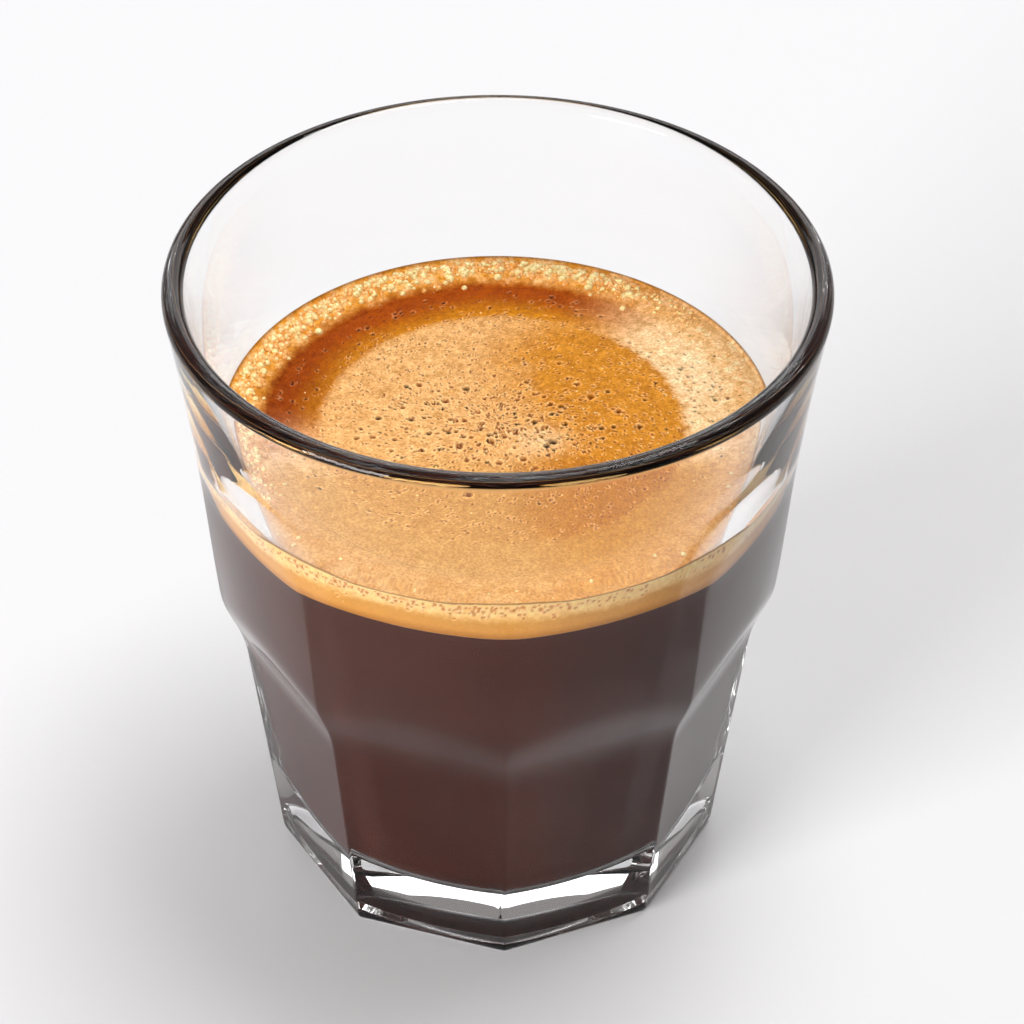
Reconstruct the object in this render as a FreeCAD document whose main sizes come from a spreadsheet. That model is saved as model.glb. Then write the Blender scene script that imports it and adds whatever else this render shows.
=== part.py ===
"""Double espresso in a small nine-sided tempered glass tumbler.

Three solids, one inside the other: the glass, the coffee in it and the crema
that floats on the coffee. Lengths are millimetres. The origin is the middle of
the foot, +Z points up through the mouth and one ridge between two of the flat
sides points along -Y.
"""
import FreeCAD, Part
import math
import os

import Sketcher

V = FreeCAD.Vector
START, END, CENTRE = 1, 2, 3
HORIZONTAL_AXIS, VERTICAL_AXIS = -1, -2

# alias, value, meaning; lengths in millimetres
# walls are measured level, from the cone of the inside wall out to the surface
SIZES = [
    ("rim_diameter", 63.0, "outside of the tumbler at its lip"),
    ("glass_height", 68.0, "foot to the top of the lip"),
    ("lip_thickness", 2.1, "glass at the rounded lip"),
    ("side_count", 9, "flat sides"),
    ("blank_foot_wall", 9.88, "glass at the foot of the round blank, before its flats are cut"),
    ("waist_height", 36.0, "height where the round blank starts to flare"),
    ("waist_wall", 4.6, "glass of the round blank at that height"),
    ("foot_wall", 3.85, "glass between a flat and the inside cone at the foot"),
    ("foot_bevel", 0.7, "bevel around the foot"),
    ("shoulder_bottom_height", 27.3, "lower corner of the shoulder in each flat"),
    ("shoulder_bottom_wall", 1.93, "glass behind the flat at that corner"),
    ("shoulder_top_height", 34.0, "top of the shoulder's slope in the middle of a flat"),
    ("shoulder_top_wall", 3.47, "glass behind the slope at that height"),
    ("shoulder_round", 15.0, "radius between the flat and the shoulder's slope"),
    ("panel_low_height", 33.0, "lower point that sets the bulged panel over the shoulder"),
    ("panel_low_wall", 3.69, "glass behind the middle of the panel at that height"),
    ("panel_top_height", 46.0, "height where a panel starts to run out"),
    ("panel_top_wall", 2.46, "glass behind the middle of the panel at that height"),
    ("panel_setback", 30.0, "how far behind the glass's axis a panel's own axis lies"),
    ("runout_radius", 30.0, "curve by which a panel runs out of the round wall"),
    ("recess_overreach", 1.0, "how much wider the hollow under the foot is than the floor"),
    ("recess_depth", 0.8, "depth of that hollow"),
    ("floor_thickness", 5.9, "solid glass under the coffee"),
    ("floor_radius", 18.4, "inside of the glass at its floor, before the round"),
    ("floor_round", 4.5, "round between the floor and the inside wall"),
    ("contents_clearance", 0.2, "gap between the drink and the glass"),
    ("coffee_level", 46.4, "top of the coffee, where the crema starts"),
    ("crema_thickness", 4.8, "foam on the coffee, measured at the wall"),
    ("crema_sag", 0.9, "how far the middle of the crema lies below its edge"),
    ("crema_collar", 4.4, "width of the raised collar of foam along the wall"),
]

doc = FreeCAD.newDocument("double_espresso")
sheet = doc.addObject("Spreadsheet::Sheet", "Sizes")
for row, (alias, value, meaning) in enumerate(SIZES, start=1):
    sheet.set(f"A{row}", meaning)
    sheet.set(f"B{row}", str(value))
    sheet.setAlias(f"B{row}", alias)
doc.recompute()


def size(alias):
    """Value of one cell of the sheet, for a sketch's first guess."""
    return float(sheet.get(alias))


# ------------------------------------------------------------ sketch helpers

def new_body(name):
    """An empty body whose label names its solid."""
    body = doc.addObject("PartDesign::Body", name)
    body.Label = name
    return body


def new_sketch(body, name, plane):
    """A sketch on one of the body's own upright origin planes."""
    sketch = body.newObject("Sketcher::SketchObject", name)
    planes = {feature.Role: feature for feature in body.Origin.OriginFeatures}
    sketch.AttachmentSupport = (planes[plane], [""])
    sketch.MapMode = "FlatFace"
    return sketch


def bind(sketch, constraint, name, formula):
    """Add a dimension and bind it to cells of the sheet."""
    index = sketch.addConstraint(constraint)
    sketch.renameConstraint(index, name)
    sketch.setExpression(f"Constraints.{name}", formula)


def place_across(sketch, geometry, point, name, formula, guess):
    """Set how far a point lies from the axis."""
    dimension = Sketcher.Constraint("DistanceX", geometry, point, guess)
    bind(sketch, dimension, f"{name}_across", formula)


def place_up(sketch, geometry, point, name, formula, guess):
    """Set how high a point lies above the foot."""
    dimension = Sketcher.Constraint("DistanceY", geometry, point, guess)
    bind(sketch, dimension, f"{name}_up", formula)


def on_axis(sketch, geometry, point):
    """Hold a point on the axis of the glass."""
    sketch.addConstraint(Sketcher.Constraint("PointOnObject", geometry, point, VERTICAL_AXIS))


def line(sketch, start, end, construction=False):
    """Straight edge between two (across, up) points."""
    return sketch.addGeometry(Part.LineSegment(V(*start, 0), V(*end, 0)), construction)


def arc(sketch, centre, radius, first, last):
    """Counterclockwise arc between two angles in degrees."""
    circle = Part.Circle(V(*centre, 0), V(0, 0, 1), radius)
    return sketch.addGeometry(Part.ArcOfCircle(circle, math.radians(first), math.radians(last)))


def meet(sketch, first, first_point, second, second_point, smooth=False):
    """Join two edges at their ends, tangent to each other if smooth."""
    kind = "Tangent" if smooth else "Coincident"
    sketch.addConstraint(Sketcher.Constraint(kind, first, first_point, second, second_point))


def level(sketch, geometry):
    """Keep an edge horizontal."""
    sketch.addConstraint(Sketcher.Constraint("Horizontal", geometry))


def turn_about_axis(body, sketch, name):
    """Solid of revolution of a sketch about the axis of the glass."""
    solid = body.newObject("PartDesign::Revolution", name)
    solid.Profile = sketch
    solid.ReferenceAxis = (sketch, ["V_Axis"])
    solid.Angle = 360
    sketch.Visibility = False
    return solid


# ------------------------------------------------------- the inside of the glass

LIP_ACROSS = "Sizes.rim_diameter / 2 - Sizes.lip_thickness / 2"
LIP_UP = "Sizes.glass_height - Sizes.lip_thickness / 2"
lip_radius = size("lip_thickness") / 2
lip_centre = (size("rim_diameter") / 2 - lip_radius, size("glass_height") - lip_radius)
floor_corner = (size("floor_radius"), size("floor_thickness"))
cone_run = lip_centre[0] - floor_corner[0]
cone_rise = lip_centre[1] - floor_corner[1]
cone_lean = math.atan2(cone_run, cone_rise) - math.asin(lip_radius / math.hypot(cone_run, cone_rise))


def inside_radius(height):
    """First guess of the inside radius of the glass at a height."""
    return floor_corner[0] + (height - floor_corner[1]) * math.tan(cone_lean)


def wall_line(sketch):
    """Guide line along the inside wall: from the floor's corner, tangent to the lip."""
    lip = sketch.addGeometry(Part.Circle(V(*lip_centre, 0), V(0, 0, 1), lip_radius), True)
    place_across(sketch, lip, CENTRE, "lip", LIP_ACROSS, lip_centre[0])
    place_up(sketch, lip, CENTRE, "lip", LIP_UP, lip_centre[1])
    radius = Sketcher.Constraint("Radius", lip, lip_radius)
    bind(sketch, radius, "lip_radius", "Sizes.lip_thickness / 2")
    top = (lip_centre[0] - lip_radius * math.cos(cone_lean),
           lip_centre[1] + lip_radius * math.sin(cone_lean))
    wall = line(sketch, floor_corner, top, construction=True)
    place_across(sketch, wall, START, "floor_corner", "Sizes.floor_radius", floor_corner[0])
    place_up(sketch, wall, START, "floor_corner", "Sizes.floor_thickness", floor_corner[1])
    meet(sketch, wall, END, lip, 0, smooth=True)
    return wall, lip


def stand_off(sketch, wall, geometry, point, name, height, guess):
    """Hold a point of the outside at a height, its wall's thickness out from the inside cone."""
    inside = (inside_radius(guess[1]), guess[1])
    glass = line(sketch, inside, guess, construction=True)
    level(sketch, glass)
    sketch.addConstraint(Sketcher.Constraint("PointOnObject", glass, START, wall))
    meet(sketch, glass, END, geometry, point)
    thickness = Sketcher.Constraint("DistanceX", glass, START, glass, END, guess[0] - inside[0])
    bind(sketch, thickness, f"{name}_wall", f"Sizes.{name}_wall")
    if height is not None:
        place_up(sketch, glass, END, name, height, guess[1])


def side_along_wall(sketch, wall, bottom, top):
    """Side of the drink: an edge that keeps its clearance from the inside wall."""
    gap = size("contents_clearance")
    low = (inside_radius(bottom) - gap, bottom)
    high = (inside_radius(top) - gap, top)
    side = line(sketch, low, high)
    sketch.addConstraint(Sketcher.Constraint("Parallel", side, wall))
    clearance = Sketcher.Constraint("Distance", side, END, wall, gap)
    bind(sketch, clearance, "clearance", "Sizes.contents_clearance")
    return side


# ----------------------------------------------------------------- the glass

def glass_section(body):
    """Half section of the round blank: hollow foot, flared wall, lip, cone, floor."""
    sketch = new_sketch(body, "GlassSection", "XZ_Plane")
    wall, lip = wall_line(sketch)
    recess = size("floor_radius") + size("recess_overreach")
    depth = size("recess_depth")
    foot = inside_radius(0) + size("blank_foot_wall")
    waist_height = size("waist_height")
    waist = (inside_radius(waist_height) + size("waist_wall"), waist_height)

    hollow = line(sketch, (0, depth), (recess - depth, depth))
    hollow_edge = line(sketch, (recess - depth, depth), (recess, 0))
    ring = line(sketch, (recess, 0), (foot, 0))
    lower_wall = line(sketch, (foot, 0), waist)
    on_axis(sketch, hollow, START)
    level(sketch, hollow)
    level(sketch, ring)
    meet(sketch, hollow, END, hollow_edge, START)
    meet(sketch, hollow_edge, END, ring, START)
    meet(sketch, ring, END, lower_wall, START)
    place_across(sketch, hollow, END, "hollow",
                 "Sizes.floor_radius + Sizes.recess_overreach - Sizes.recess_depth",
                 recess - depth)
    place_up(sketch, hollow, END, "hollow", "Sizes.recess_depth", depth)
    place_across(sketch, ring, START, "ring", "Sizes.floor_radius + Sizes.recess_overreach",
                 recess)
    sketch.addConstraint(Sketcher.Constraint("PointOnObject", ring, START, HORIZONTAL_AXIS))
    stand_off(sketch, wall, ring, END, "blank_foot", None, (foot, 0))
    stand_off(sketch, wall, lower_wall, END, "waist", "Sizes.waist_height", waist)

    # the flare leaves the lower wall without a kink and ends in the lip
    outer = (lip_centre[0] + lip_radius, lip_centre[1])
    lean = math.atan2(waist[0] - foot, waist[1])
    chord = math.atan2(outer[0] - waist[0], outer[1] - waist[1])
    reach = math.hypot(outer[0] - waist[0], outer[1] - waist[1])
    flare_radius = reach / (2 * math.sin(chord - lean))
    flare_centre = (waist[0] + flare_radius * math.cos(lean),
                    waist[1] - flare_radius * math.sin(lean))
    end_lean = 2 * chord - lean
    flare = arc(sketch, flare_centre, flare_radius,
                180 - math.degrees(end_lean), 180 - math.degrees(lean))
    mouth = arc(sketch, lip_centre, lip_radius, -math.degrees(end_lean), 180 - math.degrees(cone_lean))
    inner_wall = line(sketch, (inside_radius(lip_centre[1]), lip_centre[1]), floor_corner)
    meet(sketch, lower_wall, END, flare, END, smooth=True)
    meet(sketch, flare, START, mouth, START, smooth=True)
    meet(sketch, mouth, CENTRE, lip, CENTRE)
    meet(sketch, mouth, END, wall, END)
    meet(sketch, inner_wall, START, mouth, END)
    sketch.addConstraint(Sketcher.Constraint("Parallel", inner_wall, wall))

    bend = size("floor_round")
    bend_centre = (floor_corner[0] - bend, floor_corner[1] + bend)
    corner = arc(sketch, bend_centre, bend, 270, 360 - math.degrees(cone_lean))
    floor = line(sketch, (bend_centre[0], floor_corner[1]), (0, floor_corner[1]))
    axis = line(sketch, (0, floor_corner[1]), (0, depth))
    meet(sketch, inner_wall, END, corner, END, smooth=True)
    meet(sketch, corner, START, floor, START, smooth=True)
    bind(sketch, Sketcher.Constraint("Radius", corner, bend), "floor_round", "Sizes.floor_round")
    level(sketch, floor)
    place_up(sketch, floor, END, "floor", "Sizes.floor_thickness", floor_corner[1])
    on_axis(sketch, floor, END)
    meet(sketch, floor, END, axis, START)
    meet(sketch, axis, END, hollow, START)
    return sketch


def outside_at(name, height):
    """First guess of a point of the outside, from its height and its wall."""
    return (inside_radius(height) + size(f"{name}_wall"), height)


def along(start, end, distance):
    """Point at a distance from start on the way to end."""
    step = distance / math.hypot(end[0] - start[0], end[1] - start[1])
    return (start[0] + (end[0] - start[0]) * step, start[1] + (end[1] - start[1]) * step)


def lean_of(start, end):
    """Angle by which an edge leans outward from upright."""
    return math.atan2(end[0] - start[0], end[1] - start[1])


def close_outside(sketch, top, bottom, reach):
    """Close a cutter with a lid, an upright back clear of the glass and an underside."""
    (upper, upper_point, high), (lower, lower_point, low) = top, bottom
    lid = line(sketch, high, (reach, high[1]))
    back = line(sketch, (reach, high[1]), (reach, low[1]))
    under = line(sketch, (reach, low[1]), low)
    meet(sketch, lid, END, back, START)
    meet(sketch, back, END, under, START)
    meet(sketch, under, END, lower, lower_point)
    level(sketch, lid)
    level(sketch, under)
    sketch.addConstraint(Sketcher.Constraint("Vertical", back))
    place_across(sketch, back, START, "back", "Sizes.rim_diameter", reach)
    return lid


def flat_section(body):
    """What one flat removes: everything outside its bevel, its flat and the shoulder's slope."""
    sketch = new_sketch(body, "FlatSection", "YZ_Plane")
    wall, _ = wall_line(sketch)
    bevel = size("foot_bevel")
    foot = outside_at("foot", bevel)
    low = outside_at("shoulder_bottom", size("shoulder_bottom_height"))
    high = outside_at("shoulder_top", size("shoulder_top_height"))
    bend = size("shoulder_round")
    rim = size("rim_diameter") / 2
    flat_lean, slope_lean = lean_of(foot, low), lean_of(low, high)
    cut = bend * math.tan((slope_lean - flat_lean) / 2)
    flat_end = along(low, foot, cut)
    slope_end = (rim, high[1] + (rim - high[0]) / math.tan(slope_lean))

    edge = line(sketch, (foot[0] - 2 * bevel, -bevel), foot)
    flat = line(sketch, foot, flat_end)
    centre = (flat_end[0] + bend * math.cos(flat_lean), flat_end[1] - bend * math.sin(flat_lean))
    corner = arc(sketch, centre, bend, 180 - math.degrees(slope_lean),
                 180 - math.degrees(flat_lean))
    slope = line(sketch, along(low, high, cut), slope_end)
    meet(sketch, edge, END, flat, START)
    meet(sketch, flat, END, corner, END, smooth=True)
    meet(sketch, corner, START, slope, START, smooth=True)
    lid = close_outside(sketch, (slope, END, slope_end), (edge, START, (foot[0] - 2 * bevel, -bevel)),
                        size("rim_diameter"))
    meet(sketch, slope, END, lid, START)
    bind(sketch, Sketcher.Constraint("Radius", corner, bend), "corner", "Sizes.shoulder_round")

    # the bevel slopes at 45 degrees and is drawn on past the foot, to cut clear of it
    for axis in ("DistanceX", "DistanceY"):
        reach = Sketcher.Constraint(axis, edge, START, edge, END, 2 * bevel)
        bind(sketch, reach, f"bevel_{axis}", "2 * Sizes.foot_bevel")
    stand_off(sketch, wall, edge, END, "foot", "Sizes.foot_bevel", foot)
    # the lower point is the corner where the flat and the slope would meet without their round
    meeting = sketch.addGeometry(Part.Point(V(*low, 0)), True)
    for guide in (flat, slope):
        sketch.addConstraint(Sketcher.Constraint("PointOnObject", meeting, START, guide))
    stand_off(sketch, wall, meeting, START, "shoulder_bottom",
              "Sizes.shoulder_bottom_height", low)
    on_slope = sketch.addGeometry(Part.Point(V(*high, 0)), True)
    sketch.addConstraint(Sketcher.Constraint("PointOnObject", on_slope, START, slope))
    stand_off(sketch, wall, on_slope, START, "shoulder_top", "Sizes.shoulder_top_height", high)
    place_across(sketch, slope, END, "slope_end", "Sizes.rim_diameter / 2", rim)
    return sketch


def panel_section(body):
    """What one bulged panel removes over the shoulder, and the upright axis it is turned about."""
    sketch = new_sketch(body, "PanelSection", "YZ_Plane")
    wall, _ = wall_line(sketch)
    low = outside_at("panel_low", size("panel_low_height"))
    top = outside_at("panel_top", size("panel_top_height"))
    runout = size("runout_radius")
    setback = size("panel_setback")
    start_height = size("shoulder_bottom_height")
    lean = lean_of(low, top)
    start = (low[0] - (low[1] - start_height) * math.tan(lean), start_height)
    centre = (top[0] + runout * math.cos(lean), top[1] - runout * math.sin(lean))
    run_top = (centre[0], centre[1] + runout)

    panel = line(sketch, start, top)
    run = arc(sketch, centre, runout, 90, 180 - math.degrees(lean))
    meet(sketch, panel, END, run, END, smooth=True)
    lid = close_outside(sketch, (run, START, run_top), (panel, START, start),
                        size("rim_diameter"))
    meet(sketch, run, START, lid, START, smooth=True)
    bind(sketch, Sketcher.Constraint("Radius", run, runout), "run_out", "Sizes.runout_radius")
    on_panel = sketch.addGeometry(Part.Point(V(*low, 0)), True)
    sketch.addConstraint(Sketcher.Constraint("PointOnObject", on_panel, START, panel))
    stand_off(sketch, wall, on_panel, START, "panel_low", "Sizes.panel_low_height", low)
    stand_off(sketch, wall, panel, END, "panel_top", "Sizes.panel_top_height", top)
    place_up(sketch, panel, START, "start", "Sizes.shoulder_bottom_height", start_height)

    axis = sketch.addGeometry(
        Part.LineSegment(V(-setback, 0, 0), V(-setback, start_height, 0)), True)
    sketch.addConstraint(Sketcher.Constraint("Vertical", axis))
    sketch.addConstraint(Sketcher.Constraint("PointOnObject", axis, START, HORIZONTAL_AXIS))
    place_across(sketch, axis, START, "axis", "-Sizes.panel_setback", -setback)
    place_up(sketch, axis, END, "axis", "Sizes.shoulder_bottom_height", start_height)
    return sketch, axis


PANEL_SWEEP = 50.0


def make_glass():
    """The tumbler: a turned blank with its flats and panels cut around the axis."""
    body = new_body("glass")
    blank = turn_about_axis(body, glass_section(body), "GlassBlank")
    doc.recompute()
    flat = body.newObject("PartDesign::Pocket", "Flat")
    flat.Profile = flat_section(body)
    flat.Midplane = True
    flat.setExpression("Length", "2 * Sizes.rim_diameter")
    doc.recompute()
    # a panel is turned about an axis behind the glass's own, so it bulges less than the wall
    panel = body.newObject("PartDesign::Groove", "Panel")
    section, axis = panel_section(body)
    construction = [item for item in range(axis + 1) if section.getConstruction(item)]
    lines = [item for item in construction
             if isinstance(section.Geometry[item], Part.LineSegment)]
    panel.Profile = section
    panel.ReferenceAxis = (section, [f"Axis{lines.index(axis)}"])
    panel.Angle = PANEL_SWEEP
    panel.Midplane = True
    doc.recompute()
    if not panel.Shape.Volume < flat.Shape.Volume < blank.Shape.Volume:
        raise RuntimeError("the first flat or panel removed no glass")
    around = body.newObject("PartDesign::PolarPattern", "Sides")
    around.Originals = [flat, panel]
    axes = {feature.Role: feature for feature in body.Origin.OriginFeatures}
    around.Axis = (axes["Z_Axis"], [""])
    around.Angle = 360
    around.setExpression("Occurrences", "Sizes.side_count")
    body.Tip = around
    return body


# ----------------------------------------------------------------- the drink

def make_coffee():
    """The black coffee, from the floor of the glass up to the crema."""
    body = new_body("coffee")
    sketch = new_sketch(body, "CoffeeSection", "XZ_Plane")
    wall, _ = wall_line(sketch)
    gap = size("contents_clearance")
    bottom = floor_corner[1] + gap
    top = size("coffee_level")
    bend = size("floor_round") - gap
    side = side_along_wall(sketch, wall, bottom + bend, top)
    bend_centre = (floor_corner[0] - gap - bend, bottom + bend)
    corner = arc(sketch, bend_centre, bend, 270, 360 - math.degrees(cone_lean))
    floor = line(sketch, (bend_centre[0], bottom), (0, bottom))
    axis = line(sketch, (0, bottom), (0, top))
    surface = line(sketch, (0, top), (inside_radius(top) - gap, top))
    meet(sketch, side, START, corner, END, smooth=True)
    meet(sketch, corner, START, floor, START, smooth=True)
    meet(sketch, floor, END, axis, START)
    meet(sketch, axis, END, surface, START)
    meet(sketch, surface, END, side, END)
    on_axis(sketch, floor, END)
    on_axis(sketch, axis, END)
    level(sketch, floor)
    level(sketch, surface)
    bind(sketch, Sketcher.Constraint("Radius", corner, bend), "corner",
         "Sizes.floor_round - Sizes.contents_clearance")
    place_up(sketch, floor, END, "bottom", "Sizes.floor_thickness + Sizes.contents_clearance",
             bottom)
    place_up(sketch, surface, START, "top", "Sizes.coffee_level", top)
    turn_about_axis(body, sketch, "CoffeeSolid")
    return body


def make_crema():
    """The crema: a layer of foam with a raised collar along the wall."""
    body = new_body("crema")
    sketch = new_sketch(body, "CremaSection", "XZ_Plane")
    wall, _ = wall_line(sketch)
    gap = size("contents_clearance")
    bottom = size("coffee_level")
    top = bottom + size("crema_thickness")
    sag, collar_width = size("crema_sag"), size("crema_collar")
    side = side_along_wall(sketch, wall, bottom, top)
    edge = inside_radius(top) - gap
    collar_radius = (collar_width ** 2 + sag ** 2) / (2 * sag)
    spread = math.degrees(math.asin(collar_width / collar_radius))
    collar = arc(sketch, (edge, top - collar_radius), collar_radius, 90, 90 + spread)
    middle = line(sketch, (edge - collar_width, top - sag), (0, top - sag))
    axis = line(sketch, (0, top - sag), (0, bottom))
    underside = line(sketch, (0, bottom), (inside_radius(bottom) - gap, bottom))
    meet(sketch, side, END, collar, START)
    meet(sketch, collar, END, middle, START)
    meet(sketch, middle, END, axis, START)
    meet(sketch, axis, END, underside, START)
    meet(sketch, underside, END, side, START)
    on_axis(sketch, middle, END)
    on_axis(sketch, axis, END)
    level(sketch, middle)
    level(sketch, underside)
    # the collar's crest is at the wall, so its centre lies straight below its end
    sketch.addConstraint(Sketcher.Constraint("Vertical", collar, START, collar, CENTRE))
    width = Sketcher.Constraint("DistanceX", collar, END, collar, START, collar_width)
    bind(sketch, width, "collar_width", "Sizes.crema_collar")
    place_up(sketch, underside, START, "bottom", "Sizes.coffee_level", bottom)
    crest = "Sizes.coffee_level + Sizes.crema_thickness"
    place_up(sketch, side, END, "top", crest, top)
    place_up(sketch, middle, END, "middle", f"{crest} - Sizes.crema_sag", top - sag)
    turn_about_axis(body, sketch, "CremaSolid")
    return body


# ------------------------------------------------------------ check and write

bodies = [make_glass(), make_coffee(), make_crema()]
doc.recompute()

for item in doc.Objects:
    if "Invalid" in item.State or "Error" in item.State:
        raise RuntimeError(f"{item.Label} failed: {item.State}")

os.makedirs("parts", exist_ok=True)
for body in bodies:
    shape = body.Shape
    if shape.isNull() or not shape.isValid() or len(shape.Solids) != 1:
        raise RuntimeError(f"{body.Label} is not one valid solid")
    shape.exportStep(f"parts/{body.Label}.step")
    box = shape.optimalBoundingBox(True, False)
    print(f"{body.Label}: {shape.Volume / 1000:.2f} ml, "
          f"{box.XLength:.2f} x {box.YLength:.2f} x {box.ZLength:.2f} mm")
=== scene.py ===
"""Looks of the double espresso: clear glass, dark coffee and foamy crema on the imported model.

Lengths below are millimetres in the frame of the model and become metres when a mesh is made.
"""
import math

import bpy
import numpy as np
from mathutils import Matrix, Vector


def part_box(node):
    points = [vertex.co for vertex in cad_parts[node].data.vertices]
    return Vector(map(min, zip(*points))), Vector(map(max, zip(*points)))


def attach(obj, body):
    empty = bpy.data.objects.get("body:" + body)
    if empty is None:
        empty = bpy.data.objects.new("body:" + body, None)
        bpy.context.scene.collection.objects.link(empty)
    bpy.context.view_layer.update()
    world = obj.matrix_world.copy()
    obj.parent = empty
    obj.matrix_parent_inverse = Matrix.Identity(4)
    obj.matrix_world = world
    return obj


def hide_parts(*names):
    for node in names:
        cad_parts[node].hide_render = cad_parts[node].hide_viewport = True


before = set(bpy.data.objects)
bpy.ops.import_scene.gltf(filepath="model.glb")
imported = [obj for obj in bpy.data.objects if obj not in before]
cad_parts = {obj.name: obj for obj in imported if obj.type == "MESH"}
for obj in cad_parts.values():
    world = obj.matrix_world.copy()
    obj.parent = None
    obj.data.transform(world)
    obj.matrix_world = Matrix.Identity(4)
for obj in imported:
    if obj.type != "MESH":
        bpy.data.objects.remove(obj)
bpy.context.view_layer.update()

MM = 0.001
TURN = 2 * math.pi


# ------------------------------------------------------------------ sizes

def span_mm(node):
    """Lowest and highest corner of a CAD node, in millimetres."""
    low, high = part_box(node)
    return np.array(low) / MM, np.array(high) / MM


_, glass_high = span_mm("glass")
coffee_low, coffee_high = span_mm("coffee")
_, crema_high = span_mm("crema")

RIM_RADIUS = glass_high[0]
HEIGHT = glass_high[2]
COFFEE_LEVEL = coffee_high[2]
CREMA_LEVEL = crema_high[2]

# the glass, as the construction has it
CLEARANCE = 0.2
LIP_RADIUS = 1.05
SIDES = 9
FLOOR = coffee_low[2] - CLEARANCE
FLOOR_RADIUS = 18.4
FLOOR_ROUND = 4.5
RECESS_RADIUS = 19.4
RECESS_DEPTH = 0.8
BLANK_FOOT_WALL = 9.88
WAIST_HEIGHT = 36.0
WAIST_WALL = 4.6
# corners of a flat's outline: bevel, foot of the shoulder, top of the shoulder
FLAT_HEIGHTS = (0.7, 27.3, 34.0)
FLAT_WALLS = (3.85, 1.93, 3.47)
SHOULDER_ROUND = 15.0
# two points on the middle of a panel
PANEL_HEIGHTS = (33.0, 46.0)
PANEL_WALLS = (3.69, 2.46)
PANEL_AXIS_OFFSET = 30.0
RUNOUT_RADIUS = 30.0
# an axis so far off that an arc about it is a flat
FLAT_AXIS_OFFSET = 4000.0
# how softly the glass was pressed: rounds along the ridges, at the foot and between surfaces
RIDGE_ROUND = 0.7
FOOT_ROUND = 0.9
ARCH_SOFTNESS = 0.07
SHOULDER_SOFTNESS = 0.25

LIP_CENTRE = (RIM_RADIUS - LIP_RADIUS, HEIGHT - LIP_RADIUS)


def cone_lean():
    """Lean of the inside cone, from the floor's edge up to where it touches the lip's round."""
    run, rise = LIP_CENTRE[0] - FLOOR_RADIUS, LIP_CENTRE[1] - FLOOR
    return math.atan2(run, rise) - math.asin(LIP_RADIUS / math.hypot(run, rise))


CONE_LEAN = cone_lean()
# where the floor starts to round up into the cone
BEND_START = FLOOR_RADIUS - FLOOR_ROUND * math.tan((math.pi / 2 - CONE_LEAN) / 2)


def inside_radius(height):
    """Radius of the inside cone of the glass at a height."""
    return FLOOR_RADIUS + (height - FLOOR) * math.tan(CONE_LEAN)


# ------------------------------------------------------------ mesh helpers

def mesh_from(name, points, faces, smooth=True):
    """Object from points in millimetres and a list of faces."""
    mesh = bpy.data.meshes.new(name)
    mesh.from_pydata((np.asarray(points) * MM).tolist(), [], faces)
    mesh.polygons.foreach_set("use_smooth", np.full(len(mesh.polygons), smooth))
    mesh.update()
    piece = bpy.data.objects.new(name, mesh)
    bpy.context.scene.collection.objects.link(piece)
    return piece


def ring_faces(rows, columns, first=0):
    """Quads between rows of points that close on themselves."""
    row, column = np.meshgrid(np.arange(rows - 1), np.arange(columns), indexing="ij")
    after = (column + 1) % columns
    quads = np.stack([row * columns + column, row * columns + after,
                      (row + 1) * columns + after, (row + 1) * columns + column], axis=-1)
    return (quads.reshape(-1, 4) + first).tolist()


def cap_faces(start, columns, centre, flip):
    """Triangles from one ring of points to a centre point."""
    faces = []
    for column in range(columns):
        after = (column + 1) % columns
        pair = (start + after, start + column) if flip else (start + column, start + after)
        faces.append((*pair, centre))
    return faces


def turned(name, radii, heights, columns=256):
    """Closed solid of revolution of an outline that runs from the axis out and back to it."""
    angles = np.arange(columns) * TURN / columns
    radii, heights = np.asarray(radii), np.asarray(heights)
    x = radii[:, None] * np.cos(angles)
    y = radii[:, None] * np.sin(angles)
    z = np.repeat(heights[:, None], columns, axis=1)
    rings = np.stack([x, y, z], axis=-1)
    return closed_rings(name, rings)


def closed_rings(name, rings):
    """Closed mesh through rings of points, with a centre point under and over them."""
    rows, columns = rings.shape[:2]
    bottom = [[0, 0, rings[0, :, 2].mean()]]
    top = [[0, 0, rings[-1, :, 2].mean()]]
    points = np.concatenate([rings.reshape(-1, 3), bottom, top])
    faces = ring_faces(rows, columns)
    faces += cap_faces(0, columns, rows * columns, flip=True)
    faces += cap_faces((rows - 1) * columns, columns, rows * columns + 1, flip=False)
    return mesh_from(name, points, faces)


# ------------------------------------------------------------------ glass

def rounded_path(corners, radius, step=0.05):
    """Points along straight runs whose inner corners are rounded to one radius."""
    path = [np.array(corners[0], float)]
    for before, corner, after in zip(corners, corners[1:], corners[2:]):
        before, corner, after = (np.array(p, float) for p in (before, corner, after))
        arrive = (corner - before) / np.linalg.norm(corner - before)
        leave = (after - corner) / np.linalg.norm(after - corner)
        bend = math.acos(np.clip(arrive @ leave, -1, 1))
        cut = radius * math.tan(bend / 2)
        side = np.sign(arrive[0] * leave[1] - arrive[1] * leave[0])
        normal = side * np.array([-arrive[1], arrive[0]])
        start = corner - arrive * cut
        centre = start + normal * radius
        for angle in np.linspace(0, bend, max(3, int(radius * bend / step))):
            path.append(centre - normal * radius * math.cos(angle)
                        + arrive * radius * math.sin(angle))
    path.append(np.array(corners[-1], float))
    return np.array(path)


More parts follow.
